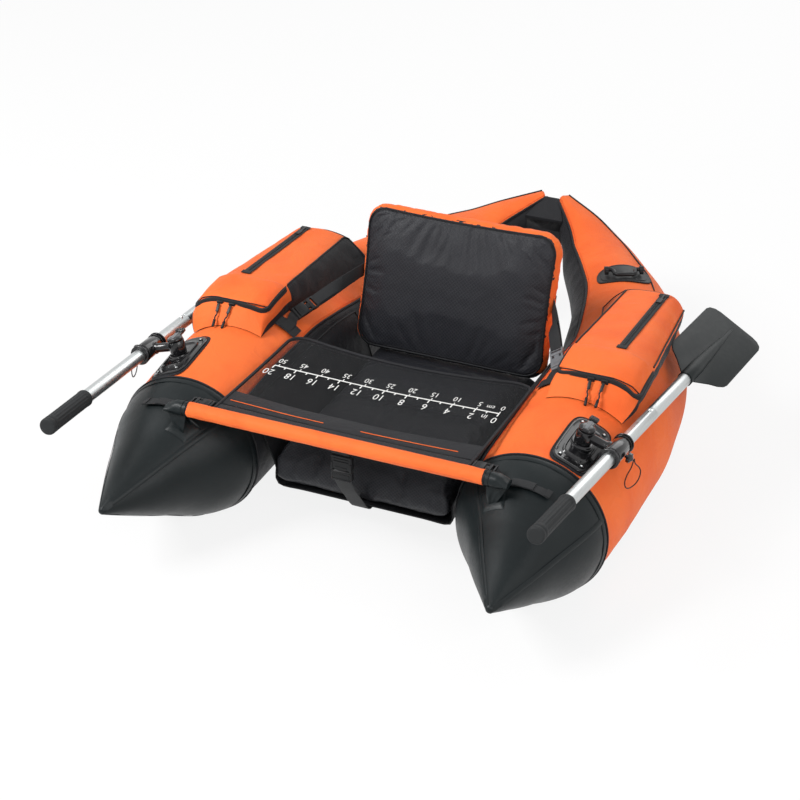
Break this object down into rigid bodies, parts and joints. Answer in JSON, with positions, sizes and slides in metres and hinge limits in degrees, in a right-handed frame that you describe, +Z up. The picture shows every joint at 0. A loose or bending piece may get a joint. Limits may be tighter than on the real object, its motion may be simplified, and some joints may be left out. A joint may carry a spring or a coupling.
{
  "type": "inflatable float tube",
  "caption": "Open-bow inflatable float tube with a seat, folding backrest, mesh apron on a stabiliser bar, zipped cargo pockets and oars in swivelling oarlocks.",
  "frame": {"origin": "on the surface the tube stands on, under the middle of its overall length and width", "axes": "+X towards the rider's left (the rider faces the open bow), +Y from the open bow to the joined stern, +Z up"},
  "size_m": [1.2527, 1.528, 0.5035],
  "materials": {
    "orange_nylon": "woven polyester cover cloth, semi-matt",
    "black_nylon": "black woven cloth, matt",
    "black_ripstop": "black ripstop cloth with a fine diamond grid",
    "grey_pvc": "dark grey coated fabric, satin",
    "bladder_vinyl": "grey vinyl film",
    "mesh_fabric": "black mesh with a bound edge",
    "webbing": "black woven webbing",
    "black_plastic": "moulded black plastic",
    "gloss_black_plastic": "glossy moulded black plastic",
    "grip_rubber": "ribbed black rubber",
    "blade_plastic": "dark grey-green moulded plastic",
    "aluminium": "drawn tube, satin"
  },
  "bodies": {
    "hull": {"stern_gusset": "black_nylon", "seat_cushion": "black_ripstop", "seat_sling": "black_nylon", "stabiliser_bar": "aluminium", "crotch_buckle_socket": "black_plastic", "crotch_strap_tail": "webbing", "pontoon_top_cover_left": "orange_nylon", "pontoon_bottom_cover_left": "black_nylon", "nose_cone_left": "grey_pvc", "air_bladder_left": "bladder_vinyl", "air_valve_left": "black_plastic", "bar_end_sleeve_left": "grey_pvc", "bow_strap_left": "webbing", "back_buckle_left": "black_plastic", "cargo_pocket_left": "orange_nylon", "oarlock_base_left": "gloss_black_plastic", "handle_patch_left": "grey_pvc", "pontoon_top_cover_right": "orange_nylon", "pontoon_bottom_cover_right": "black_nylon", "nose_cone_right": "grey_pvc", "air_bladder_right": "bladder_vinyl", "air_valve_right": "black_plastic", "bar_end_sleeve_right": "grey_pvc", "bow_strap_right": "webbing", "back_buckle_right": "black_plastic", "cargo_pocket_right": "orange_nylon", "oarlock_base_right": "gloss_black_plastic", "handle_patch_right": "grey_pvc"},
    "backrest": {"backrest_cushion": "black_ripstop", "back_strap_left": "webbing", "back_strap_right": "webbing"},
    "apron": {"apron_hem": "orange_nylon", "mesh_apron": "mesh_fabric"},
    "crotch_buckle": {"crotch_buckle_prong": "black_plastic"},
    "pocket_flap_left": {"pocket_flap_left": "orange_nylon"},
    "main_zip_left": {"main_zip_slider_left": "black_plastic"},
    "oarlock_left": {"oarlock_swivel_left": "gloss_black_plastic"},
    "oar_left": {"oar_collar_left": "gloss_black_plastic", "oar_front_tube_left": "aluminium", "oar_rear_tube_left": "aluminium", "oar_grip_left": "grip_rubber", "oar_blade_left": "blade_plastic", "knob_lanyard_left": "black_nylon"},
    "clamp_knob_left": {"clamp_knob_left": "gloss_black_plastic"},
    "snap_button_left": {"snap_button_left": "aluminium"},
    "carry_handle_left": {"carry_handle_left": "black_plastic"},
    "pocket_flap_right": {"pocket_flap_right": "orange_nylon"},
    "main_zip_right": {"main_zip_slider_right": "black_plastic"},
    "oarlock_right": {"oarlock_swivel_right": "gloss_black_plastic"},
    "oar_right": {"oar_collar_right": "gloss_black_plastic", "oar_front_tube_right": "aluminium", "oar_rear_tube_right": "aluminium", "oar_grip_right": "grip_rubber", "oar_blade_right": "blade_plastic", "knob_lanyard_right": "black_nylon"},
    "clamp_knob_right": {"clamp_knob_right": "gloss_black_plastic"},
    "snap_button_right": {"snap_button_right": "aluminium"},
    "carry_handle_right": {"carry_handle_right": "black_plastic"}
  },
  "joints": [
    {"name": "backrest_fold", "type": "hinge", "parent": "hull", "child": "backrest", "pos_m": [0, 0.08143, 0.2154], "axis": [1, 0, 0], "range_deg": [0, 65], "deforming": ["back_strap_left", "back_strap_right"]},
    {"name": "apron_fold", "type": "hinge", "parent": "hull", "child": "apron", "pos_m": [0, -0.52557, 0.31], "axis": [1, 0, 0], "range_deg": [0, 150]},
    {"name": "crotch_buckle_release", "type": "slide", "parent": "hull", "child": "crotch_buckle", "axis": [0, 0, -1], "range_m": [0, 0.022], "deforming": ["crotch_strap_tail"]},
    {"name": "oarlock_swing_left", "type": "hinge", "parent": "hull", "child": "oarlock_left", "pos_m": [0.45046, -0.33357, 0.31197], "axis": [-0.2588, 0, -0.9659], "range_deg": [0, 85], "deforming": ["knob_lanyard_left"]},
    {"name": "oar_lift_left", "type": "hinge", "parent": "oarlock_left", "child": "oar_left", "pos_m": [0.4559, -0.33357, 0.33225], "axis": [0.9632, -0.0752, -0.2581], "range_deg": [0, 12]},
    {"name": "clamp_knob_turn_left", "type": "hinge", "parent": "oar_left", "child": "clamp_knob_left", "pos_m": [0.54249, -0.34033, 0.30905], "axis": [0.9632, -0.0752, -0.2581], "continuous": true},
    {"name": "snap_button_press_left", "type": "slide", "parent": "oar_left", "child": "snap_button_left", "axis": [-0.005, -0.0941, -0.9955], "range_m": [0, 0.0038], "stiffness_N_per_m": 400, "springref_m": -0.003},
    {"name": "pocket_flap_open_left", "type": "hinge", "parent": "hull", "child": "pocket_flap_left", "pos_m": [0.436, -0.06157, 0.3843], "axis": [-0.9898, 0, 0.1422], "range_deg": [0, 85]},
    {"name": "main_zip_pull_left", "type": "slide", "parent": "hull", "child": "main_zip_left", "axis": [0, -0.9983, 0.0591], "range_m": [0, 0.235]},
    {"name": "carry_handle_lift_left", "type": "hinge", "parent": "hull", "child": "carry_handle_left", "pos_m": [0.28091, 0.44283, 0.3119], "axis": [-0.9019, -0.4319, 0], "range_deg": [0, 165]},
    {"name": "oarlock_swing_right", "type": "hinge", "parent": "hull", "child": "oarlock_right", "pos_m": [-0.45046, -0.33357, 0.31197], "axis": [-0.2588, 0, 0.9659], "range_deg": [0, 85], "deforming": ["knob_lanyard_right"]},
    {"name": "oar_lift_right", "type": "hinge", "parent": "oarlock_right", "child": "oar_right", "pos_m": [-0.4559, -0.33357, 0.33225], "axis": [0.9632, 0.0752, 0.2581], "range_deg": [0, 12]},
    {"name": "clamp_knob_turn_right", "type": "hinge", "parent": "oar_right", "child": "clamp_knob_right", "pos_m": [-0.54249, -0.34033, 0.30905], "axis": [0.9632, 0.0752, 0.2581], "continuous": true},
    {"name": "snap_button_press_right", "type": "slide", "parent": "oar_right", "child": "snap_button_right", "axis": [0.005, -0.0941, -0.9955], "range_m": [0, 0.0038], "stiffness_N_per_m": 400, "springref_m": -0.003},
    {"name": "pocket_flap_open_right", "type": "hinge", "parent": "hull", "child": "pocket_flap_right", "pos_m": [-0.436, -0.06157, 0.3843], "axis": [-0.9898, 0, -0.1422], "range_deg": [0, 85]},
    {"name": "main_zip_pull_right", "type": "slide", "parent": "hull", "child": "main_zip_right", "axis": [0, -0.9983, 0.0591], "range_m": [0, 0.235]},
    {"name": "carry_handle_lift_right", "type": "hinge", "parent": "hull", "child": "carry_handle_right", "pos_m": [-0.28091, 0.44283, 0.3119], "axis": [-0.9019, 0.4319, 0], "range_deg": [0, 165]}
  ]
}
